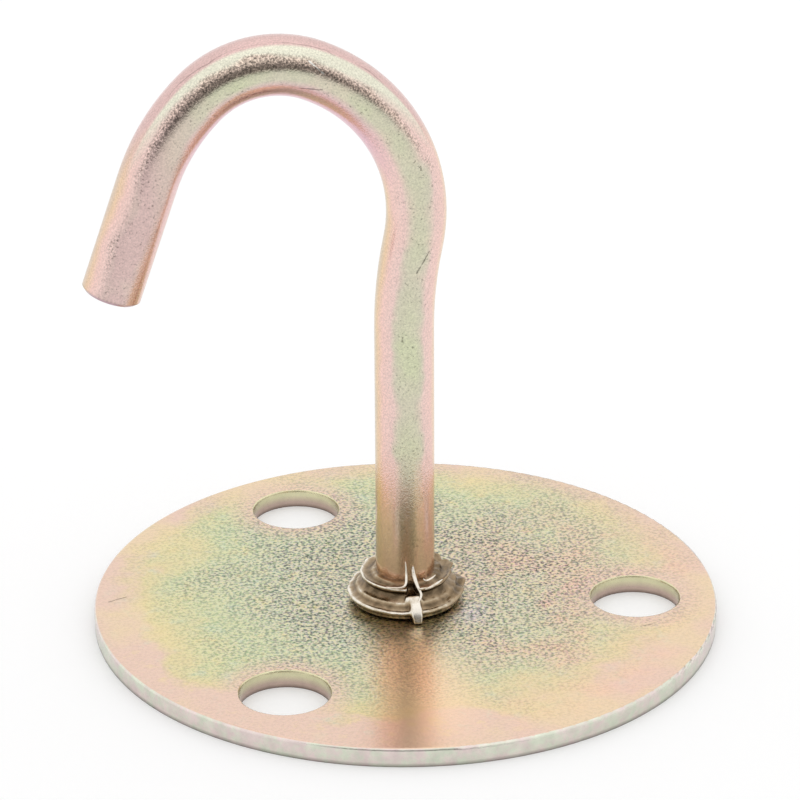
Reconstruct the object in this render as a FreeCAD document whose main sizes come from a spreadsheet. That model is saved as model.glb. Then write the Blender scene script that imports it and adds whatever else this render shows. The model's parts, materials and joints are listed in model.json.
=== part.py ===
import FreeCAD, Part
import math
import os
import Sketcher

# Ceiling hook: a round stamped plate, a bent steel rod standing on its middle and the collar of
# metal that the weld squeezed out round the rod's foot. Millimetres and degrees.
# The origin is the middle of the plate's mounting face. The rod stands along +Z and is bent
# in the XZ plane, with the mouth of the hook towards -X.

Vector = FreeCAD.Vector
TOLERANCE = 1e-4

SIZES = {
    # stamped plate
    "plate_diameter": 65.0,
    "plate_thickness": 2.0,
    "plate_edge_round": 0.3,
    "hole_count": 3,
    "hole_diameter": 9.3,
    "hole_circle": 48.0,
    "hole_turn": -9.6,
    "hole_edge_round": 0.2,
    # bent rod, from its foot on the plate to its cut tip
    "rod_diameter": 6.1,
    "shank_length": 30.8,
    "offset_bend_radius": 45.7,
    "offset_bend_angle": 11.7,
    "back_bend_radius": 16.9,
    "back_bend_angle": 78.3,
    "crown_bend_radius": 10.4,
    "crown_bend_angle": 67.9,
    "front_bend_radius": 21.7,
    "front_bend_angle": 26.5,
    "tip_length": 12.6,
    "tip_chamfer": 0.3,
    # weld collar: a lower and an upper ring with a groove between them, and a dish inside the lip
    "lower_ring_width": 3.15,
    "lower_ring_height": 1.9,
    "lower_ring_round": 0.8,
    "groove_width": 1.15,
    "groove_height": 0.5,
    "upper_ring_width": 1.75,
    "upper_ring_height": 1.2,
    "upper_ring_round": 0.4,
    "lip_width": 0.95,
    "dish_depth": 0.45,
    # fins where the two welding jaws met, before and behind the rod
    "fin_thickness": 1.2,
    "fin_reach": 4.0,
    "fin_toe_height": 0.5,
    "fin_proud": 0.35,
    "fin_climb": 2.0,
}

doc = FreeCAD.newDocument("CeilingHook")
sheet = doc.addObject("Spreadsheet::Sheet", "Sizes")
for row, (alias, value) in enumerate(SIZES.items(), start=1):
    sheet.set(f"A{row}", alias.replace("_", " "))
    sheet.set(f"B{row}", str(value))
    sheet.setAlias(f"B{row}", alias)
doc.recompute()


def size(alias):
    return float(sheet.get(alias))


def new_body(name, label):
    body = doc.addObject("PartDesign::Body", name)
    body.Label = label
    return body


def new_sketch(body, name, role):
    plane = [feature for feature in body.Origin.OriginFeatures if feature.Role == role][0]
    sketch = body.newObject("Sketcher::SketchObject", name)
    sketch.AttachmentSupport = (plane, [""])
    sketch.MapMode = "FlatFace"
    return sketch


def bind(sketch, name, expression, *constraint):
    index = sketch.addConstraint(Sketcher.Constraint(*constraint))
    sketch.renameConstraint(index, name)
    sketch.setExpression(f"Constraints.{name}", expression)


def add_circle(sketch, alias):
    # A circle round the sketch's origin whose diameter is one cell of the sheet.
    circle = sketch.addGeometry(Part.Circle(Vector(), Vector(0, 0, 1), size(alias) / 2))
    sketch.addConstraint(Sketcher.Constraint("Coincident", circle, 3, -1, 1))
    bind(sketch, alias, f"Sizes.{alias}", "Diameter", circle, size(alias))


def add_outline(sketch, corners):
    # A closed outline of straight lines. Each corner is named and holds its two coordinates,
    # each as an expression of the sheet and its present value.
    points = [Vector(across[1], up[1], 0) for name, across, up in corners]
    count = len(points)
    for index in range(count):
        sketch.addGeometry(Part.LineSegment(points[index], points[(index + 1) % count]))
    for index, (name, across, up) in enumerate(corners):
        sketch.addConstraint(Sketcher.Constraint("Coincident", index - 1 if index else count - 1, 2, index, 1))
        for suffix, kind, (expression, value) in (("across", "DistanceX", across), ("up", "DistanceY", up)):
            bind(sketch, f"{name}_{suffix}", expression, kind, -1, 1, index, 1, value)


def place(names, sign=1):
    # The sum of some cells, as an expression and as a number. A name ending in /2 counts half.
    terms = [f"Sizes.{name.replace('/2', '')}" + (" / 2" if name.endswith("/2") else "") for name in names]
    total = sum(size(name.replace("/2", "")) / (2 if name.endswith("/2") else 1) for name in names)
    expression = " + ".join(terms) or "0"
    return (expression, total) if sign > 0 else (f"-({expression})", -total)


def add_feature(body, kind, name, profile=None):
    feature = body.newObject(f"PartDesign::{kind}", name)
    if profile is not None:
        feature.Profile = profile
    return feature


def round_edges(body, base, kind, name, edges, length, alias):
    dressing = body.newObject(f"PartDesign::{kind}", name)
    dressing.Base = (base, edges)
    dressing.setExpression(length, f"Sizes.{alias}")
    body.Tip = dressing
    doc.recompute()
    return dressing


def circles_at(shape, radius, height):
    # Names of the circular edges of one radius that lie at one height.
    names = []
    for number, edge in enumerate(shape.Edges, start=1):
        if not isinstance(edge.Curve, Part.Circle):
            continue
        level = abs(edge.Curve.Center.z - height) < TOLERANCE and abs(abs(edge.Curve.Axis.z) - 1) < TOLERANCE
        if level and abs(edge.Curve.Radius - radius) < TOLERANCE:
            names.append(f"Edge{number}")
    return names


def make_base_plate():
    # Disc punched from sheet, with screw holes on a circle. Punching rounds the upper edges.
    body = new_body("BasePlate", "base_plate")
    disc_sketch = new_sketch(body, "DiscOutline", "XY_Plane")
    add_circle(disc_sketch, "plate_diameter")
    disc = add_feature(body, "Pad", "Disc", disc_sketch)
    disc.setExpression("Length", "Sizes.plate_thickness")
    doc.recompute()

    hole_sketch = new_sketch(body, "HoleOutline", "XY_Plane")
    turn = math.radians(size("hole_turn"))
    reach = size("hole_circle") / 2
    centre = Vector(reach * math.cos(turn), reach * math.sin(turn), 0)
    hole_circle = hole_sketch.addGeometry(Part.Circle(centre, Vector(0, 0, 1), size("hole_diameter") / 2))
    spoke = hole_sketch.addGeometry(Part.LineSegment(Vector(), centre), True)
    hole_sketch.addConstraint(Sketcher.Constraint("Coincident", spoke, 1, -1, 1))
    hole_sketch.addConstraint(Sketcher.Constraint("Coincident", spoke, 2, hole_circle, 3))
    bind(hole_sketch, "hole_diameter", "Sizes.hole_diameter", "Diameter", hole_circle, size("hole_diameter"))
    bind(hole_sketch, "hole_reach", "Sizes.hole_circle / 2", "Distance", spoke, reach)
    bind(hole_sketch, "hole_turn", "Sizes.hole_turn * 1 deg", "Angle", spoke, turn)
    hole = add_feature(body, "Pocket", "ScrewHole", hole_sketch)
    hole.Type = "ThroughAll"
    hole.Reversed = True
    doc.recompute()
    holes = body.newObject("PartDesign::PolarPattern", "ScrewHoles")
    holes.Originals = [hole]
    holes.Axis = (hole_sketch, ["N_Axis"])
    holes.Angle = 360
    holes.setExpression("Occurrences", "Sizes.hole_count")
    body.Tip = holes
    doc.recompute()

    top = size("plate_thickness")
    rim = circles_at(holes.Shape, size("plate_diameter") / 2, top)
    rounded = round_edges(body, holes, "Fillet", "RimRound", rim, "Radius", "plate_edge_round")
    mouths = circles_at(rounded.Shape, size("hole_diameter") / 2, top)
    round_edges(body, rounded, "Fillet", "HoleRounds", mouths, "Radius", "hole_edge_round")
    return body


class RodPath:
    # The rod's centre line, drawn piece by piece from the foot with every joint tangent.
    def __init__(self, sketch):
        self.sketch = sketch
        self.point = Vector()
        self.heading = 90.0
        self.last = None

    def step(self, angle, length):
        return Vector(math.cos(math.radians(angle)), math.sin(math.radians(angle)), 0) * length

    def join(self, piece, start, finish):
        if self.last:
            self.sketch.addConstraint(Sketcher.Constraint("Tangent", *self.last, piece, start))
        self.last = (piece, finish)

    def straight(self, alias):
        end = self.point + self.step(self.heading, size(alias))
        line = self.sketch.addGeometry(Part.LineSegment(self.point, end))
        self.join(line, 1, 2)
        bind(self.sketch, alias, f"Sizes.{alias}", "Distance", line, size(alias))
        self.point = end
        return line

    def bend(self, name, side):
        # side is 1 for a bend towards -X and -1 for one towards +X
        radius = size(f"{name}_radius")
        angle = size(f"{name}_angle")
        centre = self.point + self.step(self.heading + 90 * side, radius)
        first = self.heading - 90 * side
        low, high = sorted((first, first + angle * side))
        circle = Part.Circle(centre, Vector(0, 0, 1), radius)
        arc = self.sketch.addGeometry(Part.ArcOfCircle(circle, math.radians(low), math.radians(high)))
        self.join(arc, 1 if side > 0 else 2, 2 if side > 0 else 1)
        bind(self.sketch, f"{name}_radius", f"Sizes.{name}_radius", "Radius", arc, radius)
        span = f"Sizes.{name}_angle * 1 deg"
        bind(self.sketch, f"{name}_angle", span, "Angle", arc, math.radians(angle))
        self.heading += angle * side
        self.point = centre + self.step(self.heading - 90 * side, radius)


def make_hook_rod():
    # Round bar bent cold: a straight shank, a slight set to the back, the bow and a straight tip.
    body = new_body("HookRod", "hook_rod")
    path_sketch = new_sketch(body, "CentreLine", "XZ_Plane")
    path = RodPath(path_sketch)
    shank = path.straight("shank_length")
    path_sketch.addConstraint(Sketcher.Constraint("Coincident", shank, 1, -1, 1))
    path_sketch.addConstraint(Sketcher.Constraint("Vertical", shank))
    path.bend("offset_bend", -1)
    path.bend("back_bend", 1)
    path.bend("crown_bend", 1)
    path.bend("front_bend", 1)
    path.straight("tip_length")
    section = new_sketch(body, "RodSection", "XY_Plane")
    add_circle(section, "rod_diameter")
    doc.recompute()

    rod = add_feature(body, "AdditivePipe", "Rod", section)
    rod.Spine = (path_sketch, [])
    doc.recompute()
    tip = Vector(path.point.x, 0, path.point.y)
    ends = []
    for number, edge in enumerate(rod.Shape.Edges, start=1):
        if isinstance(edge.Curve, Part.Circle) and edge.Curve.Center.distanceToPoint(tip) < TOLERANCE:
            ends.append(f"Edge{number}")
    round_edges(body, rod, "Chamfer", "CutEnd", ends, "Size", "tip_chamfer")
    return body


def make_weld_collar():
    # Metal squeezed out by the weld: a stepped ring with rolled edges, and a fin before and behind.
    body = new_body("WeldCollar", "weld_collar")
    lower_radius = place(["rod_diameter/2", "lower_ring_width"])
    groove_radius = place(["rod_diameter/2", "groove_width"])
    upper_radius = place(["rod_diameter/2", "upper_ring_width"])
    lip_radius = ("Sizes.rod_diameter / 2 + Sizes.upper_ring_width - Sizes.lip_width",
                  upper_radius[1] - size("lip_width"))
    lower_top = place(["lower_ring_height"])
    groove_top = place(["lower_ring_height", "groove_height"])
    top_cells = ["lower_ring_height", "groove_height", "upper_ring_height"]
    top = place(top_cells)
    dish_floor = (f"{top[0]} - Sizes.dish_depth", top[1] - size("dish_depth"))
    axis = place([])
    floor = place([])

    section = new_sketch(body, "CollarSection", "XZ_Plane")
    add_outline(section, [
        ("axis_foot", axis, floor),
        ("lower_foot", lower_radius, floor),
        ("lower_brow", lower_radius, lower_top),
        ("groove_foot", groove_radius, lower_top),
        ("groove_brow", groove_radius, groove_top),
        ("upper_foot", upper_radius, groove_top),
        ("upper_brow", upper_radius, top),
        ("lip", lip_radius, top),
        ("dish", lip_radius, dish_floor),
        ("axis_top", axis, dish_floor),
    ])
    ring = add_feature(body, "Revolution", "Rings", section)
    ring.ReferenceAxis = (section, ["V_Axis"])
    ring.Angle = 360
    doc.recompute()
    lower_edges = circles_at(ring.Shape, lower_radius[1], lower_top[1])
    lower_edges += circles_at(ring.Shape, lower_radius[1], 0)
    rolled = round_edges(body, ring, "Fillet", "LowerRoll", lower_edges, "Radius", "lower_ring_round")
    upper_edges = circles_at(rolled.Shape, upper_radius[1], groove_top[1])
    upper_edges += circles_at(rolled.Shape, upper_radius[1], top[1])
    upper_edges += circles_at(rolled.Shape, lip_radius[1], top[1])
    round_edges(body, rolled, "Fillet", "UpperRoll", upper_edges, "Radius", "upper_ring_round")

    fin_sketch = new_sketch(body, "FinOutline", "YZ_Plane")
    profile = [
        ("toe", ["rod_diameter/2", "fin_reach"], []),
        ("toe_top", ["rod_diameter/2", "fin_reach"], ["fin_toe_height"]),
        ("shoulder", ["rod_diameter/2", "upper_ring_width", "fin_proud"], top_cells),
        ("neck", ["rod_diameter/2", "fin_proud"], top_cells + ["fin_proud"]),
        ("crest", ["rod_diameter/2"], top_cells + ["fin_climb"]),
    ]
    front = [(f"front_{name}", place(across, -1), place(up)) for name, across, up in profile]
    back = [(f"back_{name}", place(across), place(up)) for name, across, up in reversed(profile)]
    add_outline(fin_sketch, front + back)
    fins = add_feature(body, "Pad", "Fins", fin_sketch)
    fins.Midplane = True
    fins.setExpression("Length", "Sizes.fin_thickness")
    doc.recompute()

    bore_sketch = new_sketch(body, "BoreOutline", "XY_Plane")
    add_circle(bore_sketch, "rod_diameter")
    bore = add_feature(body, "Pocket", "RodBore", bore_sketch)
    bore.Type = "ThroughAll"
    bore.Reversed = True
    body.Tip = bore
    return body


bodies = [make_base_plate(), make_hook_rod(), make_weld_collar()]
for standing in bodies[1:]:
    standing.setExpression("Placement.Base.z", "Sizes.plate_thickness")
doc.recompute()

for item in doc.Objects:
    if "Invalid" in item.State or "Error" in item.State:
        raise RuntimeError(f"{item.Label} did not build: {item.State}")
for body in bodies:
    if body.Shape.isNull() or not body.Shape.isValid() or len(body.Shape.Solids) != 1:
        raise RuntimeError(f"{body.Label} is not one valid solid")

os.makedirs("parts", exist_ok=True)
for body in bodies:
    body.Shape.exportStep(f"parts/{body.Label}.step")
    box = body.Shape.BoundBox
    print(body.Label, f"{body.Shape.Volume:.1f} mm3", f"{box.XLength:.2f} x {box.YLength:.2f} x {box.ZLength:.2f}")
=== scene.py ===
import json
import math
import bmesh
import bpy
from mathutils import Matrix, Vector


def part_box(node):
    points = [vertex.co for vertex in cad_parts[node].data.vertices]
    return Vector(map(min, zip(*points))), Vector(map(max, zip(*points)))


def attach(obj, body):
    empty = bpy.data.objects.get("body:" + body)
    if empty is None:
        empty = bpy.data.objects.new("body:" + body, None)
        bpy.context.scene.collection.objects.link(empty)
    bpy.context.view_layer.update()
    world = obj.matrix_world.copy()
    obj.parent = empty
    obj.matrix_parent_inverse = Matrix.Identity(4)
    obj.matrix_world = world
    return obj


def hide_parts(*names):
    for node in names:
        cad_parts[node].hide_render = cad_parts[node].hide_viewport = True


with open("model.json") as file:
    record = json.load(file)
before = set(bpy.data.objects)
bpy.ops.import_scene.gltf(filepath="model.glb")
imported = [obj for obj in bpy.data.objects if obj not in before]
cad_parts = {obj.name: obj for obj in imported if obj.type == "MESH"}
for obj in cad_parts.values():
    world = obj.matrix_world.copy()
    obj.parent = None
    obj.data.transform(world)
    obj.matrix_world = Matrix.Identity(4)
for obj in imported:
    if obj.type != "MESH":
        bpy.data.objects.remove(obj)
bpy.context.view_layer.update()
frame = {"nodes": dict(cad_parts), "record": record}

mm = 0.001
origin = (0.0, 0.0, 0.0)

plateLow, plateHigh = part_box("base_plate")
rodLow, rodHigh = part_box("hook_rod")
plateTop = plateHigh[2]
plateRadius = (plateHigh[0] - plateLow[0]) / 2
rodRadius = (rodHigh[1] - rodLow[1]) / 2
holeDims = [mount for mount in frame["record"]["mounts"] if mount["name"] == "screw_holes"][0]["dims"]
holeRadius = holeDims["hole_r_mm"] * mm
holeReach = holeDims["pcd_mm"] / 2 * mm
holeTurn = math.radians(-9.6)  # first hole, from the hook's own plane
holeCentres = []
for step in range(holeDims["count"]):
    angle = holeTurn + step * math.tau / holeDims["count"]
    holeCentres.append((holeReach * math.cos(angle), holeReach * math.sin(angle), plateTop))


# node helpers

def newMaterial(name):
    material = bpy.data.materials.new(name)
    material.use_nodes = True
    material.node_tree.nodes.clear()
    return material, material.node_tree


def plug(tree, socket, value):
    if isinstance(value, bpy.types.NodeSocket):
        tree.links.new(value, socket)
    else:
        socket.default_value = value


def addNode(tree, kind, inputs=None, **settings):
    node = tree.nodes.new(kind)
    for key, value in settings.items():
        setattr(node, key, value)
    for key, value in (inputs or {}).items():
        plug(tree, node.inputs[key], value)
    return node


def calc(tree, operation, first, second=0.0):
    return addNode(tree, "ShaderNodeMath", {0: first, 1: second}, operation=operation).outputs[0]


def times(tree, first, second):
    return calc(tree, "MULTIPLY", first, second)


def vectorCalc(tree, operation, first, second, output="Vector"):
    inputs = {0: first, 1: second}
    return addNode(tree, "ShaderNodeVectorMath", inputs, operation=operation).outputs[output]


def reach(tree, first, second):
    return vectorCalc(tree, "DISTANCE", first, second, "Value")


def splitXYZ(tree, vector):
    return addNode(tree, "ShaderNodeSeparateXYZ", {0: vector}).outputs


def mixColor(tree, factor, first, second, blend="MIX"):
    inputs = {0: factor, 6: first, 7: second}
    return addNode(tree, "ShaderNodeMix", inputs, data_type="RGBA", blend_type=blend).outputs[2]


def darken(tree, color, level):
    shade = addNode(tree, "ShaderNodeCombineColor", {0: level, 1: level, 2: level}).outputs[0]
    return mixColor(tree, 1.0, color, shade, "MULTIPLY")


def ramp(tree, factor, stops):
    node = addNode(tree, "ShaderNodeValToRGB", {"Fac": factor})
    elements = node.color_ramp.elements
    while len(elements) < len(stops):
        elements.new(0.5)
    for element, (place, color) in zip(elements, stops):
        element.position = place
        element.color = (*color, 1.0)
    return node.outputs["Color"]


def noise(tree, vector, scale, detail, rough, output=0):
    inputs = {"Vector": vector, "Scale": scale, "Detail": detail, "Roughness": rough}
    return addNode(tree, "ShaderNodeTexNoise", inputs).outputs[output]


def span(tree, value, low, high, toLow=0.0, toHigh=1.0):
    inputs = {"Value": value, "From Min": low, "From Max": high, "To Min": toLow, "To Max": toHigh}
    return addNode(tree, "ShaderNodeMapRange", inputs).outputs[0]


def between(tree, share, atNone, atFull):
    return span(tree, share, 0.0, 1.0, atNone, atFull)


def shadeWhere(tree, color, mask, level):
    return darken(tree, color, between(tree, mask, 1.0, level))


# In the dictionaries of the finishes a noise is its scale, detail and roughness. A range is the two
# values that it starts from, and then the two that they become, or 0 and 1 where none are given.
scratchLook = {
    "edgeNoise": (2500.0, 3.0, 0.7),
    "edgeRange": (0.35, 0.65, 0.3, 1.5),
    "core": 0.4,  # share of the width that is fully marked
    "shade": 0.45,
}


def scratchMask(tree, coords, start, end, width):
    # 1 on a straight scratch between two points, fading to 0 at its width
    look = scratchLook
    start = Vector(start) * mm
    run = Vector(end) * mm - start
    offset = vectorCalc(tree, "SUBTRACT", coords, start)
    along = vectorCalc(tree, "DOT_PRODUCT", offset, run, "Value")
    share = span(tree, along, 0.0, run.length_squared)
    foot = addNode(tree, "ShaderNodeVectorMath", {0: run, "Scale": share}, operation="SCALE").outputs[0]
    ragged = span(tree, noise(tree, coords, *look["edgeNoise"]), *look["edgeRange"])
    gap = calc(tree, "DIVIDE", reach(tree, offset, foot), ragged)
    return span(tree, gap, width * mm, width * mm * look["core"])


def metal(tree, color, roughness, height, strength, distance):
    bumpInputs = {"Height": height, "Strength": strength, "Distance": distance}
    bump = addNode(tree, "ShaderNodeBump", bumpInputs)
    inputs = {"Base Color": color, "Metallic": 1.0, "Roughness": roughness, "Normal": bump.outputs[0]}
    shader = addNode(tree, "ShaderNodeBsdfPrincipled", inputs)
    addNode(tree, "ShaderNodeOutputMaterial", {"Surface": shader.outputs[0]})
    return bump


def grey(level):
    return (level, level, level, 1.0)


# plate finish: grey-green and grainy in the middle, gold further out, pink at the rim and round the holes
plateLook = {
    # film colours, by their share of the way from the middle to the rim
    "zones": [
        (0.12, (0.52, 0.48, 0.37)),
        (0.45, (0.55, 0.56, 0.41)),
        (0.74, (0.54, 0.57, 0.35)),
        (0.88, (0.63, 0.54, 0.31)),
        (0.95, (0.66, 0.48, 0.39)),
    ],
    "zoneCentre": (1.0 * mm, 3.0 * mm, 0.0),
    "blotchNoise": (130.0, 3.0, 0.5),
    "blotchRange": (0.3, 0.7, -0.11, 0.11),
    # thin films over the zones
    "filmNoise": (420.0, 4.0, 0.65),
    "coolFilm": (0.48, 0.58, 0.46, 1.0),
    "coolRange": (0.56, 0.74, 0.0, 0.55),
    "warmFilm": (0.71, 0.58, 0.29, 1.0),
    "warmRange": (0.44, 0.28, 0.0, 0.55),
    # peach on the right
    "rightPeach": (0.73, 0.48, 0.37, 1.0),
    "peachAcross": (-4.0 * mm, 14.0 * mm),
    "peachBack": (22.0 * mm, 0.0, 0.2, 1.0),
    "peachFilm": (0.35, 0.60, 0.95, 0.60),
    "peachBlotch": (-0.02, 0.06, 1.0, 0.30),
    # pink at the rim and round the holes, gold patches between
    "edgePink": (0.66, 0.48, 0.39, 1.0),
    "borderFilm": (0.3, 0.7, -0.03, 0.03),
    "borderRange": (0.87, 0.96, 0.0, 0.7),
    "aroundHoles": (holeRadius * 1.7, holeRadius * 1.1, 0.0, 0.8),
    "goldPatch": (0.69, 0.58, 0.31, 1.0),
    "goldNoise": (95.0, 2.0, 0.5),
    "goldRange": (0.50, 0.62, 0.0, 0.42),
    "goldZone": (0.55, 0.85),
    # painted reflection of the rod: an orange streak on the plate in front of the foot
    "paintedFootReflection": (0.83, 0.58, 0.39, 1.0),
    "paintedReflectionAt": (-1.6 * mm, -19.0 * mm, plateTop),
    "paintedReflectionShape": (1.9, 0.75, 1.0),  # over 1 narrows the painted reflection, under 1 draws it out
    "paintedReflectionReach": (13.0 * mm, 0.0),
    # grey smear beside the weld
    "smearGrey": (0.58, 0.52, 0.50, 1.0),
    "smearAt": (6.0 * mm, -5.0 * mm, plateTop),
    "smearReach": (3.0 * mm, 0.0, 0.0, 0.9),
    # grain of the sheet
    "grainNoise": (2900.0, 2.0, 0.6),
    "grainZone": (0.95, 0.42, 0.10, 1.0),
    "grainInReflection": (0.0, 0.6, 1.0, 0.45),
    "speckRange": (0.58, 0.36),
    "speckLevels": (1.28, 0.26),  # between the specks and on them
    "hueNoise": (2900.0, 2.0, 0.5),
    "hueShare": 0.50,
    "speckGold": (0.75, 0.64, 0.32, 1.0),
    "speckGoldRange": (0.55, 0.68, 0.0, 0.5),
    # rim and hole walls
    "rimPink": (0.74, 0.63, 0.60, 1.0),
    "rimGreen": (0.67, 0.70, 0.58, 1.0),
    "rimFilm": (0.42, 0.62),
    "wallLower": (0.56, 0.43, 0.37, 1.0),
    "wallUpper": (0.70, 0.67, 0.44, 1.0),
    "wallHeight": (plateTop * 0.3, plateTop * 0.7),
    "wallReach": (holeRadius * 1.4, holeRadius * 1.3),
    "streakNoise": (700.0, 4.0, 0.65),
    "streakRange": (0.3, 0.7, 0.90, 1.08),
    "paintedFloorShade": (plateTop * 0.04, plateTop * 0.22, 0.55, 1.0),
    "paintedTopHighlight": (plateTop * 0.84, plateTop * 0.92, 1.0, 1.15),
    "belowTop": (plateTop * 0.995, plateTop * 0.96),
    "sideFacing": (0.98, 0.9),
    "scratches": [
        ((-30.72, 4.01, 2.0), (-28.85, 4.83, 2.0)),
        ((22.83, -10.8, 2.0), (24.05, -10.56, 2.0)),
    ],
    "scratchWidth": 0.12,
    "roughness": (0.21, 0.31),  # at the rim and in the grainy middle
    "grainBump": 0.40,
    "bumpDepth": 0.12 * mm,
    "rounding": 0.35 * mm,
    "roundingSamples": 8,
}


def plateMaterial():
    look = plateLook
    material, tree = newMaterial("plateYellowZinc")
    texture = addNode(tree, "ShaderNodeTexCoord")
    coords = texture.outputs["Object"]
    across, back, height = splitXYZ(tree, coords)
    flat = addNode(tree, "ShaderNodeCombineXYZ", {0: across, 1: back}).outputs[0]
    radial = calc(tree, "DIVIDE", reach(tree, flat, look["zoneCentre"]), plateRadius)
    wander = span(tree, noise(tree, coords, *look["blotchNoise"]), *look["blotchRange"])
    zone = calc(tree, "ADD", radial, wander)
    color = ramp(tree, zone, look["zones"])
    film = noise(tree, coords, *look["filmNoise"])
    color = mixColor(tree, span(tree, film, *look["coolRange"]), color, look["coolFilm"])
    color = mixColor(tree, span(tree, film, *look["warmRange"]), color, look["warmFilm"])
    peach = span(tree, across, *look["peachAcross"])
    peach = times(tree, peach, span(tree, back, *look["peachBack"]))
    peach = times(tree, peach, span(tree, film, *look["peachFilm"]))
    peach = times(tree, peach, span(tree, wander, *look["peachBlotch"]))
    color = mixColor(tree, peach, color, look["rightPeach"])
    border = calc(tree, "DIVIDE", reach(tree, flat, origin), plateRadius)
    border = calc(tree, "ADD", border, span(tree, film, *look["borderFilm"]))
    color = mixColor(tree, span(tree, border, *look["borderRange"]), color, look["edgePink"])
    gold = span(tree, noise(tree, coords, *look["goldNoise"]), *look["goldRange"])
    gold = times(tree, gold, span(tree, radial, *look["goldZone"]))
    color = mixColor(tree, gold, color, look["goldPatch"])
    nearest = None
    for centre in holeCentres:
        gap = reach(tree, coords, centre)
        nearest = gap if nearest is None else calc(tree, "MINIMUM", nearest, gap)
    color = mixColor(tree, span(tree, nearest, *look["aroundHoles"]), color, look["edgePink"])
    # painted reflection of the rod's foot, mixed into the plate colour; the grain is calmed under it
    fromReflection = vectorCalc(tree, "SUBTRACT", coords, look["paintedReflectionAt"])
    fromReflection = vectorCalc(tree, "MULTIPLY", fromReflection, look["paintedReflectionShape"])
    reflection = span(tree, reach(tree, fromReflection, origin), *look["paintedReflectionReach"])
    color = mixColor(tree, reflection, color, look["paintedFootReflection"])
    smear = span(tree, reach(tree, coords, look["smearAt"]), *look["smearReach"])
    color = mixColor(tree, smear, color, look["smearGrey"])
    grain = noise(tree, coords, *look["grainNoise"])
    middle = span(tree, zone, *look["grainZone"])
    middle = times(tree, middle, span(tree, reflection, *look["grainInReflection"]))
    speck = times(tree, span(tree, grain, *look["speckRange"]), middle)
    color = darken(tree, color, between(tree, speck, *look["speckLevels"]))
    hues = noise(tree, coords, *look["hueNoise"], output="Color")
    color = mixColor(tree, between(tree, middle, 0.0, look["hueShare"]), color, hues, "OVERLAY")
    goldSpeck = times(tree, span(tree, grain, *look["speckGoldRange"]), middle)
    color = mixColor(tree, goldSpeck, color, look["speckGold"])
    # rim and hole walls, darker towards the underside: painted shade where they meet the floor, and a
    # painted highlight along the top edge
    rim = mixColor(tree, span(tree, film, *look["rimFilm"]), look["rimPink"], look["rimGreen"])
    # the lower hole wall is pinker, and darker as painted shade towards the floor
    wall = mixColor(tree, span(tree, height, *look["wallHeight"]), look["wallLower"], look["wallUpper"])
    edge = mixColor(tree, span(tree, nearest, *look["wallReach"]), rim, wall)
    edge = darken(tree, edge, span(tree, noise(tree, coords, *look["streakNoise"]), *look["streakRange"]))
    # painted shade at the foot of the rim and hole walls, where the plate sits on the floor
    edge = darken(tree, edge, span(tree, height, *look["paintedFloorShade"]))
    # painted highlight: the top of the rim and hole walls is lightened
    edge = darken(tree, edge, span(tree, height, *look["paintedTopHighlight"]))
    upright = calc(tree, "ABSOLUTE", splitXYZ(tree, texture.outputs["Normal"])["Z"])
    onEdge = span(tree, height, *look["belowTop"])
    onEdge = times(tree, onEdge, span(tree, upright, *look["sideFacing"]))
    color = mixColor(tree, onEdge, color, edge)
    for start, end in look["scratches"]:
        mark = scratchMask(tree, coords, start, end, look["scratchWidth"])
        color = shadeWhere(tree, color, mark, scratchLook["shade"])
    roughness = between(tree, middle, *look["roughness"])
    bumpHeight = times(tree, grain, middle)
    bump = metal(tree, color, roughness, bumpHeight, look["grainBump"], look["bumpDepth"])
    soft = addNode(tree, "ShaderNodeBevel", {"Radius": look["rounding"]}, samples=look["roundingSamples"])
    plug(tree, bump.inputs["Normal"], soft.outputs[0])
    return material


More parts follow.
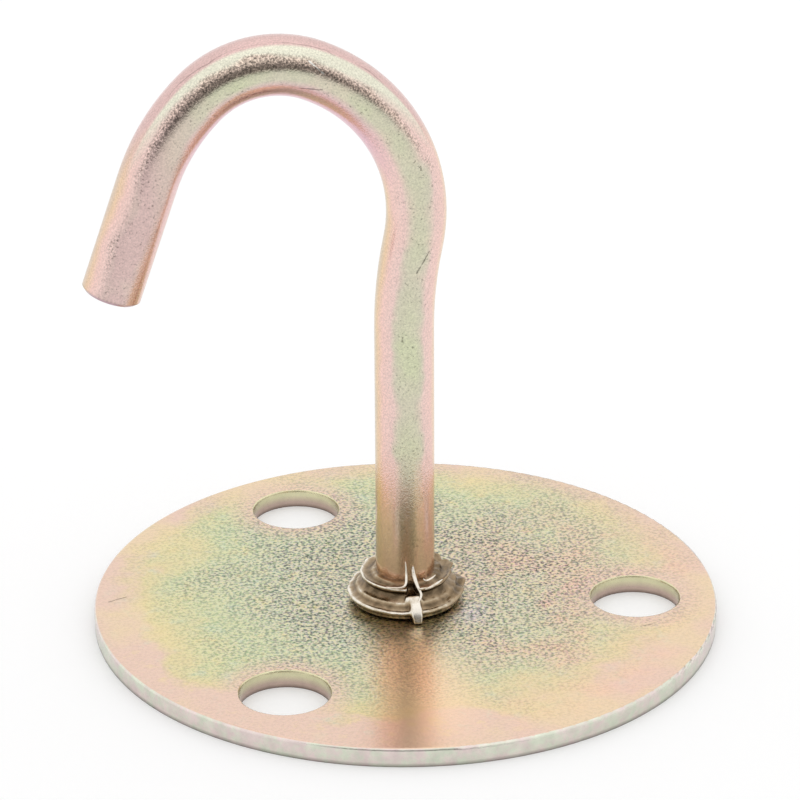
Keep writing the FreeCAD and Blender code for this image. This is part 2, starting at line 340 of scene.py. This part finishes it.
# rod finish: film colours lie in bands along the bar, with fine pits and a few scratches
rodLook = {
    # film colours, by how far the side of the bar faces forwards or back
    "bands": [
        (0.08, (0.68, 0.55, 0.40)),
        (0.34, (0.82, 0.60, 0.40)),
        (0.60, (0.86, 0.60, 0.54)),
        (0.86, (0.82, 0.61, 0.56)),
        (0.97, (0.66, 0.59, 0.50)),
    ],
    "blotchNoise": (170.0, 3.0, 0.5),
    "blotchRange": (0.3, 0.7, -0.12, 0.12),
    "greenFilm": (0.63, 0.65, 0.45, 1.0),
    "greenNoise": (110.0, 3.0, 0.5),
    "greenRange": (0.32, 0.62, 0.2, 1.0),
    "greenBand": (0.86, 1.05),
    # the crest of the bow
    "crestPink": (0.74, 0.52, 0.49, 1.0),
    "crestFacing": (0.28, 0.50),
    "paintedCreamHighlight": (0.82, 0.81, 0.66, 1.0),
    "highlightSide": (0.47, 0.57, 0.0, 0.95),
    "darkLine": 0.47,  # a thin, broken dark line along the edge of the pink
    "darkLineWidth": (0.03, 0.01),
    "darkLineNoise": (330.0, 3.0, 0.5),
    "darkLineBreaks": (0.40, 0.60),
    "darkLineFacing": (0.50, 0.70),
    "darkLineShade": 0.66,
    "crestBrown": (0.62, 0.47, 0.39, 1.0),
    "brownFacing": (0.14, 0.26),
    "brownBand": (0.78, 0.88),
    "brownShare": 0.8,
    "underPink": (0.76, 0.50, 0.55, 1.0),
    "underFacing": (-0.15, -0.50),
    # the two ends
    "tipPink": (0.68, 0.50, 0.47, 1.0),
    "tipAcross": (-20.0 * mm, -26.0 * mm),
    "tipBand": (0.75, 0.95),
    "tipCentre": (-29.72 * mm, 0.0, 38.55 * mm),
    "cutEnd": (rodRadius * 1.012, rodRadius, 1.0, 0.6),
    "footBrown": (0.66, 0.43, 0.27, 1.0),
    "footHeight": (plateTop + 15.0 * mm, plateTop, 0.0, 0.85),
    # pits, grain and scratches
    "pitNoise": (3600.0, 2.0, 0.6),
    "pitRange": (0.41, 0.31),
    "clusterNoise": (330.0, 2.0, 0.5),
    "clusterRange": (0.36, 0.58),
    "pitBand": (0.70, 0.90, 0.2, 1.0),
    "pitShade": 0.48,
    "grainNoise": (5200.0, 2.0, 0.6),
    "grainRange": (0.35, 0.65),
    "grainDark": (0.88, 0.30),  # away from the brown of the crest and on it, as in the next two
    "grainLight": (1.10, 1.55),
    "grainLift": (1.0, 2.2),
    "darkScratches": [
        ((0.84, -3.03, 39.91), (2.10, -2.82, 42.01)),
        ((-10.75, -2.77, 60.30), (-8.51, -2.95, 60.02)),
    ],
    "brightScratch": ((-9.70, -2.60, 62.98), (-8.29, -2.92, 61.66)),
    "scratchWidth": 0.11,
    "scratchBright": (0.95, 0.92, 0.85, 1.0),
    "roughness": 0.20,
    "grainBump": 0.24,
    "bumpDepth": 0.06 * mm,
}


def rodMaterial():
    look = rodLook
    material, tree = newMaterial("rodYellowZinc")
    texture = addNode(tree, "ShaderNodeTexCoord")
    coords = texture.outputs["Object"]
    place = splitXYZ(tree, coords)
    facing = splitXYZ(tree, texture.outputs["Normal"])
    wander = span(tree, noise(tree, coords, *look["blotchNoise"]), *look["blotchRange"])
    side = calc(tree, "ABSOLUTE", facing["Y"])
    band = calc(tree, "ADD", side, wander)
    color = ramp(tree, band, look["bands"])
    green = span(tree, noise(tree, coords, *look["greenNoise"]), *look["greenRange"])
    greenSide = calc(tree, "MAXIMUM", side, band)
    green = times(tree, green, span(tree, greenSide, *look["greenBand"]))
    color = mixColor(tree, green, color, look["greenFilm"])
    # the crest of the bow: pink on top, a painted cream highlight on its shoulder, browner below
    crest = span(tree, facing["Z"], *look["crestFacing"])
    color = mixColor(tree, crest, color, look["crestPink"])
    # painted highlight: cream on the shoulder of the crest
    creamHighlight = times(tree, crest, span(tree, side, *look["highlightSide"]))
    color = mixColor(tree, creamHighlight, color, look["paintedCreamHighlight"])
    fromLine = calc(tree, "ABSOLUTE", calc(tree, "SUBTRACT", band, look["darkLine"]))
    lined = span(tree, fromLine, *look["darkLineWidth"])
    lined = times(tree, lined, span(tree, noise(tree, coords, *look["darkLineNoise"]), *look["darkLineBreaks"]))
    lined = times(tree, lined, span(tree, facing["Z"], *look["darkLineFacing"]))
    color = shadeWhere(tree, color, lined, look["darkLineShade"])
    below = span(tree, band, *look["brownBand"], 0.0, look["brownShare"])
    below = times(tree, below, span(tree, facing["Z"], *look["brownFacing"]))
    color = mixColor(tree, below, color, look["crestBrown"])
    color = mixColor(tree, span(tree, facing["Z"], *look["underFacing"]), color, look["underPink"])
    toTip = span(tree, place["X"], *look["tipAcross"])
    toTip = times(tree, toTip, span(tree, band, *look["tipBand"]))
    color = mixColor(tree, toTip, color, look["tipPink"])
    color = mixColor(tree, span(tree, place["Z"], *look["footHeight"]), color, look["footBrown"])
    pits = span(tree, noise(tree, coords, *look["pitNoise"]), *look["pitRange"])
    cluster = span(tree, noise(tree, coords, *look["clusterNoise"]), *look["clusterRange"])
    pits = times(tree, pits, times(tree, cluster, span(tree, band, *look["pitBand"])))
    color = shadeWhere(tree, color, pits, look["pitShade"])
    grain = noise(tree, coords, *look["grainNoise"])
    grainDark = span(tree, below, 0.0, look["brownShare"], *look["grainDark"])
    grainLight = span(tree, below, 0.0, look["brownShare"], *look["grainLight"])
    color = darken(tree, color, span(tree, grain, *look["grainRange"], grainDark, grainLight))
    for start, end in look["darkScratches"]:
        mark = scratchMask(tree, coords, start, end, look["scratchWidth"])
        color = shadeWhere(tree, color, mark, scratchLook["shade"])
    mark = scratchMask(tree, coords, *look["brightScratch"], look["scratchWidth"])
    color = mixColor(tree, mark, color, look["scratchBright"])
    color = darken(tree, color, span(tree, reach(tree, coords, look["tipCentre"]), *look["cutEnd"]))
    lift = span(tree, below, 0.0, look["brownShare"], *look["grainLift"])
    bumpHeight = times(tree, grain, lift)
    metal(tree, color, look["roughness"], bumpHeight, look["grainBump"], look["bumpDepth"])
    return material


# weld finish: burnt brown, with painted shade deepening the hollows and undercuts and a painted highlight
# on the rolled edges
weldLook = {
    "tones": [
        (0.0, (0.10, 0.07, 0.04)),
        (0.40, (0.32, 0.23, 0.14)),
        (0.72, (0.52, 0.42, 0.29)),
        (1.0, (0.90, 0.84, 0.74)),
    ],
    "blotchNoise": (900.0, 4.0, 0.6),
    "blotchRange": (0.3, 0.7, -0.22, 0.22),
    "roughness": 0.26,
    "bump": 0.5,
    "bumpDepth": 0.1 * mm,
}


def weldMaterial():
    look = weldLook
    material, tree = newMaterial("weldYellowZinc")
    coords = addNode(tree, "ShaderNodeTexCoord").outputs["Object"]
    tone = addNode(tree, "ShaderNodeAttribute", attribute_name="edgeTone").outputs["Fac"]
    blotch = noise(tree, coords, *look["blotchNoise"])
    tone = calc(tree, "ADD", tone, span(tree, blotch, *look["blotchRange"]))
    color = ramp(tree, tone, look["tones"])
    metal(tree, color, look["roughness"], blotch, look["bump"], look["bumpDepth"])
    return material


def dressNode(nodeName, material):
    node = frame["nodes"][nodeName]
    node.data.materials.clear()
    node.data.materials.append(material)


weldFinish = weldMaterial()
dressNode("base_plate", plateMaterial())
dressNode("hook_rod", rodMaterial())
print("finishes: plate, rod and weld")


# mesh and object helpers

def addObject(name, data):
    holder = bpy.data.objects.new(name, data)
    bpy.context.scene.collection.objects.link(holder)
    return holder


def quadMesh(name, wide, high):
    mesh = bpy.data.meshes.new(name)
    corners = [(-wide, -high, 0), (wide, -high, 0), (wide, high, 0), (-wide, high, 0)]
    mesh.from_pydata(corners, [], [(0, 1, 2, 3)])
    return mesh


# Rolled rings of the weld. Each point of the section is radius and height above the plate in millimetres,
# and a tone for how bright the metal is painted there: painted shade in the hollows and undercuts, a
# painted highlight on the lips. The front and the back of the upper ring are split by the seam of the
# welding jaws, and the lower ring has a fin there, whose points also hold its half width.
ringShape = {
    "section": [
        (2.55, 3.62, 0.15), (3.05, 3.28, 0.20), (3.42, 3.30, 0.60), (3.72, 3.00, 0.15),
        (4.10, 2.92, 0.35), (4.38, 3.00, 0.60), (4.60, 3.24, 1.0), (4.78, 3.08, 0.85),
        (4.62, 2.78, 0.25), (4.15, 2.45, 0.0), (4.42, 2.12, 0.15), (4.82, 1.84, 0.30),
        (5.10, 1.80, 0.75), (5.32, 1.46, 0.15), (5.62, 1.16, 0.45), (5.90, 1.20, 1.0),
        (6.12, 1.06, 0.95), (6.02, 0.82, 0.20), (5.72, 0.46, 0.50), (5.72, 0.0, 0.50),
        (2.55, 0.0, 0.0),
    ],
    "finSection": {
        10: (4.55, 2.20, 0.0, 0.30), 11: (4.72, 2.50, 0.95, 0.74), 12: (5.10, 2.30, 1.0, 0.60),
        13: (5.45, 2.06, 0.85, 0.46), 14: (5.80, 1.82, 1.0, 0.44), 15: (6.12, 1.55, 0.90, 0.52),
        16: (6.40, 1.20, 1.0, 0.40), 17: (6.62, 0.74, 0.85, 0.46), 18: (6.76, 0.30, 0.80, 0.34),
        19: (6.80, 0.0, 0.50, 0.36),
    },
    "upperPoints": range(0, 10),
    "lipPoints": (2, 5, 6, 7, 12, 14, 15, 16),
    "waves": [(2, 0.6, 0.09), (5, 2.1, 0.07), (11, 0.4, 0.055), (23, 1.3, 0.04)],  # count, phase, height
    "waveLift": 0.7,  # share of a wave that goes into height
    "tornSide": 1.3,  # how much rougher the lips are towards +X
    "dullSide": 0.55,  # how much duller the lips are towards +X
    "seams": (90.0, 270.0),  # degrees, as are the three below
    "coarseStep": 3.0,
    "fineStep": 1.0,
    "fineHalf": 18.0,
    "slotHalf": 0.38,
    "slotSoft": 0.28,
    "slotRadius": 3.25,
    "finSoft": 0.25,
    "finLean": 0.06,
    "smoothLevels": 2,
}


def easeOut(distance, half, soft):
    # 1 inside half, falling smoothly to 0 over soft
    share = min(max((half + soft - abs(distance)) / soft, 0.0), 1.0)
    return share * share * (3 - 2 * share)


def ringAngles(shape):
    angles = []
    place = 0.0
    while place < 360.0 - shape["fineStep"] / 2:
        angles.append(place)
        fromSeam = min(abs(place - seam) for seam in shape["seams"])
        place += shape["fineStep"] if fromSeam < shape["fineHalf"] else shape["coarseStep"]
    return [math.radians(value) for value in angles]


def ringPoint(shape, index, angle):
    radius, height, tone = shape["section"][index]
    if index in shape["lipPoints"]:
        toRight = max(math.cos(angle), 0.0)
        wave = sum(size * math.sin(count * angle + phase) for count, phase, size in shape["waves"])
        wave *= 1.0 + shape["tornSide"] * toRight
        radius += wave
        height += wave * shape["waveLift"]
        tone *= 1.0 - shape["dullSide"] * toRight
    seam = radius * math.cos(angle)  # distance from the seam plane, in millimetres
    if index in shape["upperPoints"]:
        slot = easeOut(seam, shape["slotHalf"], shape["slotSoft"])
        if radius > shape["slotRadius"]:
            radius += (shape["slotRadius"] - radius) * slot
        # painted shade: the tone falls to the darkest in the seam's slot
        tone *= 1.0 - slot
    elif index in shape["finSection"]:
        finRadius, finHeight, finTone, finHalf = shape["finSection"][index]
        lean = shape["finLean"] * (finRadius - shape["slotRadius"])
        fin = easeOut(seam - lean, finHalf, shape["finSoft"])
        radius += (finRadius - radius) * fin
        height += (finHeight - height) * fin
        tone += (finTone - tone) * fin
    return radius, height, tone


def smoothPiece(piece, levels):
    smoother = piece.modifiers.new("smooth", "SUBSURF")
    smoother.levels = levels
    smoother.render_levels = levels


def makeWeldRings():
    shape = ringShape
    angles = ringAngles(shape)
    count = len(shape["section"])
    mesh = bpy.data.meshes.new("weldRings")
    points, tones, faces = [], [], []
    for turn, angle in enumerate(angles):
        for index in range(count):
            radius, height, tone = ringPoint(shape, index, angle)
            across = radius * math.cos(angle) * mm
            back = radius * math.sin(angle) * mm
            points.append((across, back, plateTop + height * mm))
            tones.append(tone)
            nextTurn = (turn + 1) % len(angles)
            nextIndex = (index + 1) % count
            corners = (turn * count + index, turn * count + nextIndex)
            faces.append((*corners, nextTurn * count + nextIndex, nextTurn * count + index))
    mesh.from_pydata(points, [], faces)
    mesh.attributes.new("edgeTone", "FLOAT", "POINT").data.foreach_set("value", tones)
    builder = bmesh.new()
    builder.from_mesh(mesh)
    bmesh.ops.recalc_face_normals(builder, faces=builder.faces)
    builder.to_mesh(mesh)
    builder.free()
    mesh.shade_smooth()
    mesh.materials.append(weldFinish)
    rings = addObject("weldRings", mesh)
    smoothPiece(rings, shape["smoothLevels"])
    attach(rings, "root")
    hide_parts("weld_collar")


# Burrs beside the seam. Points are distance from the seam plane, radius, height above the plate and
# thickness of the bead, all in millimetres.
burrShape = {
    "routes": [
        # the left one leaves the upper lip and climbs the rod
        [(-2.6, 4.58, 3.20, 0.05), (-1.3, 4.66, 3.22, 0.10), (-0.62, 4.40, 3.40, 0.14),
         (-0.50, 3.75, 3.90, 0.14), (-0.42, 3.20, 4.70, 0.11), (-0.50, 3.08, 5.60, 0.04)],
        # the right one is thick, and runs down from the rod to the fin
        [(0.30, 3.08, 5.00, 0.10), (0.26, 3.20, 4.40, 0.21), (0.40, 3.75, 3.70, 0.24),
         (0.62, 4.45, 3.05, 0.16), (0.98, 4.90, 2.55, 0.13), (0.72, 5.10, 2.25, 0.18),
         (0.50, 5.40, 2.00, 0.08)],
        # a torn piece of the upper lip on the right
        [(1.30, 4.70, 2.96, 0.06), (1.75, 4.78, 3.05, 0.17), (2.40, 4.72, 3.12, 0.19),
         (3.00, 4.66, 3.22, 0.12), (3.40, 4.60, 3.24, 0.04)],
        # a bead left lying in the upper dish
        [(1.35, 3.62, 3.62, 0.04), (1.45, 3.85, 3.40, 0.13), (1.85, 3.90, 3.42, 0.15),
         (2.40, 3.85, 3.48, 0.12), (2.75, 3.75, 3.52, 0.04)],
    ],
    "curveOrder": 4,
    "beadSides": 10,
    "steps": 40,
    # the burrs take the top tone of the weld ramp, its painted highlight
    "tone": 1.0,
}


def burrCurve(route, front):
    data = bpy.data.curves.new("burrRoute", "CURVE")
    data.dimensions = "3D"
    spline = data.splines.new("NURBS")
    spline.points.add(len(route) - 1)
    for point, (seam, radius, height, bead) in zip(spline.points, route):
        along = math.sqrt(radius * radius - seam * seam)
        point.co = (seam * mm, front * along * mm, plateTop + height * mm, 1.0)
        point.radius = bead * mm
    spline.order_u = burrShape["curveOrder"]
    spline.use_endpoint_u = True
    return data


def burrTree():
    tree = bpy.data.node_groups.new("weldBurr", "GeometryNodeTree")
    tree.interface.new_socket("Geometry", in_out="INPUT", socket_type="NodeSocketGeometry")
    tree.interface.new_socket("Bead Sides", in_out="INPUT", socket_type="NodeSocketInt")
    tree.interface.new_socket("Steps", in_out="INPUT", socket_type="NodeSocketInt")
    tree.interface.new_socket("Tone", in_out="INPUT", socket_type="NodeSocketFloat")
    tree.interface.new_socket("Finish", in_out="INPUT", socket_type="NodeSocketMaterial")
    tree.interface.new_socket("Geometry", in_out="OUTPUT", socket_type="NodeSocketGeometry")
    given = addNode(tree, "NodeGroupInput").outputs
    route = addNode(tree, "GeometryNodeResampleCurve", {
        "Curve": given["Geometry"], "Count": given["Steps"]})
    section = addNode(tree, "GeometryNodeCurvePrimitiveCircle", {
        "Resolution": given["Bead Sides"], "Radius": 1.0})
    bead = addNode(tree, "GeometryNodeCurveToMesh", {
        "Curve": route.outputs[0], "Profile Curve": section.outputs[0],
        "Scale": addNode(tree, "GeometryNodeInputRadius").outputs[0], "Fill Caps": True})
    smooth = addNode(tree, "GeometryNodeSetShadeSmooth", {0: bead.outputs[0]})
    bright = addNode(tree, "GeometryNodeStoreNamedAttribute", {
        "Geometry": smooth.outputs[0], "Name": "edgeTone", "Value": given["Tone"]})
    whole = addNode(tree, "GeometryNodeRealizeInstances", {0: bright.outputs[0]})
    dressed = addNode(tree, "GeometryNodeSetMaterial", {
        "Geometry": whole.outputs[0], "Material": given["Finish"]})
    addNode(tree, "NodeGroupOutput", {0: dressed.outputs[0]})
    return tree


def makeWeldBurrs():
    tree = burrTree()
    sockets = {item.name: item.identifier for item in tree.interface.items_tree if item.in_out == "INPUT"}
    joined = bmesh.new()
    for route in burrShape["routes"]:
        for front in (-1, 1):
            holder = addObject("burrRoute", burrCurve(route, front))
            maker = holder.modifiers.new("burr", "NODES")
            maker.node_group = tree
            maker[sockets["Bead Sides"]] = burrShape["beadSides"]
            maker[sockets["Steps"]] = burrShape["steps"]
            maker[sockets["Tone"]] = burrShape["tone"]
            maker[sockets["Finish"]] = weldFinish
            seen = holder.evaluated_get(bpy.context.evaluated_depsgraph_get())
            bead = bpy.data.meshes.new_from_object(seen)
            joined.from_mesh(bead)
            bpy.data.objects.remove(holder)
    bmesh.ops.recalc_face_normals(joined, faces=joined.faces)
    mesh = bpy.data.meshes.new("weldBurrs")
    joined.to_mesh(mesh)
    joined.free()
    mesh.shade_smooth()
    mesh.materials.append(weldFinish)
    burrs = addObject("weldBurrs", mesh)
    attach(burrs, "root")
    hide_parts("weld_collar")


makeWeldRings()
makeWeldBurrs()
print("weld: rings and burrs")


# floor, surround and light
floorLook = {"half": 3.0, "color": grey(0.84), "fill": 0.18}


def makeFloor():
    mesh = quadMesh("floor", floorLook["half"], floorLook["half"])
    floor = addObject("floor", mesh)
    material, tree = newMaterial("paleFloor")
    path = addNode(tree, "ShaderNodeLightPath").outputs
    matt = addNode(tree, "ShaderNodeBsdfDiffuse", {"Color": floorLook["color"]})
    seen = calc(tree, "MAXIMUM", path["Is Camera Ray"], path["Is Glossy Ray"])
    seen = calc(tree, "MAXIMUM", seen, path["Is Transmission Ray"])
    lift = addNode(tree, "ShaderNodeEmission", {"Strength": times(tree, seen, floorLook["fill"])})
    both = addNode(tree, "ShaderNodeAddShader", {0: matt.outputs[0], 1: lift.outputs[0]})
    addNode(tree, "ShaderNodeOutputMaterial", {"Surface": both.outputs[0]})
    mesh.materials.append(material)


surround = {"color": grey(1.0), "level": 1.0}


def makeSurround():
    world = bpy.data.worlds.new("studio")
    bpy.context.scene.world = world
    world.use_nodes = True
    tree = world.node_tree
    tree.nodes.clear()
    inputs = {"Strength": surround["level"], "Color": surround["color"]}
    white = addNode(tree, "ShaderNodeBackground", inputs)
    addNode(tree, "ShaderNodeOutputWorld", {"Surface": white.outputs[0]})


# a soft dark card in front of the object for the metal to reflect, hidden from the camera
darkCard = {
    "toward": (-0.06, -0.965, 0.25),
    "distance": 1.0,
    "halfSize": (0.93, 0.43, 1.0),
    "fade": (1.0, 0.72),  # shares of the half size where the card ends and where it is whole
    "level": 0.22,
}


def makeDarkCard():
    card = darkCard
    wide, high, _ = card["halfSize"]
    mesh = quadMesh("darkCard", wide, high)
    holder = addObject("darkCard", mesh)
    toward = Vector(card["toward"]).normalized()
    holder.location = toward * card["distance"]
    holder.rotation_euler = (-toward).to_track_quat("Z", "Y").to_euler()
    holder.visible_camera = False
    material, tree = newMaterial("darkCloth")
    coords = addNode(tree, "ShaderNodeTexCoord").outputs["Object"]
    shares = vectorCalc(tree, "DIVIDE", coords, card["halfSize"])
    whole = span(tree, reach(tree, shares, origin), *card["fade"])
    clear = addNode(tree, "ShaderNodeBsdfTransparent")
    dark = addNode(tree, "ShaderNodeEmission", {"Strength": card["level"]})
    cloth = addNode(tree, "ShaderNodeMixShader", {0: whole, 1: clear.outputs[0], 2: dark.outputs[0]})
    addNode(tree, "ShaderNodeOutputMaterial", {"Surface": cloth.outputs[0]})
    mesh.materials.append(material)


topSoftbox = {"place": (0.1, 0.2, 0.9), "size": 1.1, "power": 0.4}


def makeLamp():
    light = bpy.data.lights.new("topSoftbox", "AREA")
    light.size = topSoftbox["size"]
    light.energy = topSoftbox["power"]
    holder = addObject("topSoftbox", light)
    holder.location = topSoftbox["place"]
    holder.rotation_euler = (-Vector(topSoftbox["place"])).to_track_quat("-Z", "Y").to_euler()


shot = {
    "distance": 0.42789,
    "target": (-0.000456, 0.0, 0.024589),  # before the camera is turned about the rod
    "elevation": 24.702,
    "azimuth": -9.23,
    "roll": -0.318,
    "lens": 188.05,
    "sensor": 36.0,
    "clipStart": 0.01,
}


def makeCamera():
    elevation = math.radians(shot["elevation"])
    roll = math.radians(shot["roll"])
    turn = Matrix.Rotation(math.radians(shot["azimuth"]), 3, "Z")
    forward = Vector((0, math.cos(elevation), -math.sin(elevation)))
    right = Vector((1, 0, 0))
    up = Vector((0, math.sin(elevation), math.cos(elevation)))
    place = Vector(shot["target"]) - forward * shot["distance"]
    rolledRight = right * math.cos(roll) + up * math.sin(roll)
    rolledUp = up * math.cos(roll) - right * math.sin(roll)
    axes = Matrix((turn @ rolledRight, turn @ rolledUp, turn @ -forward)).transposed().to_4x4()
    data = bpy.data.cameras.new("photoCamera")
    data.lens = shot["lens"]
    data.sensor_width = shot["sensor"]
    data.clip_start = shot["clipStart"]
    camera = addObject("photoCamera", data)
    camera.matrix_world = Matrix.Translation(turn @ place) @ axes
    bpy.context.scene.camera = camera


makeFloor()
makeSurround()
makeDarkCard()
makeLamp()
makeCamera()
bpy.context.scene.view_settings.view_transform = "Standard"
print("stage: floor, surround, card, lamp and camera")
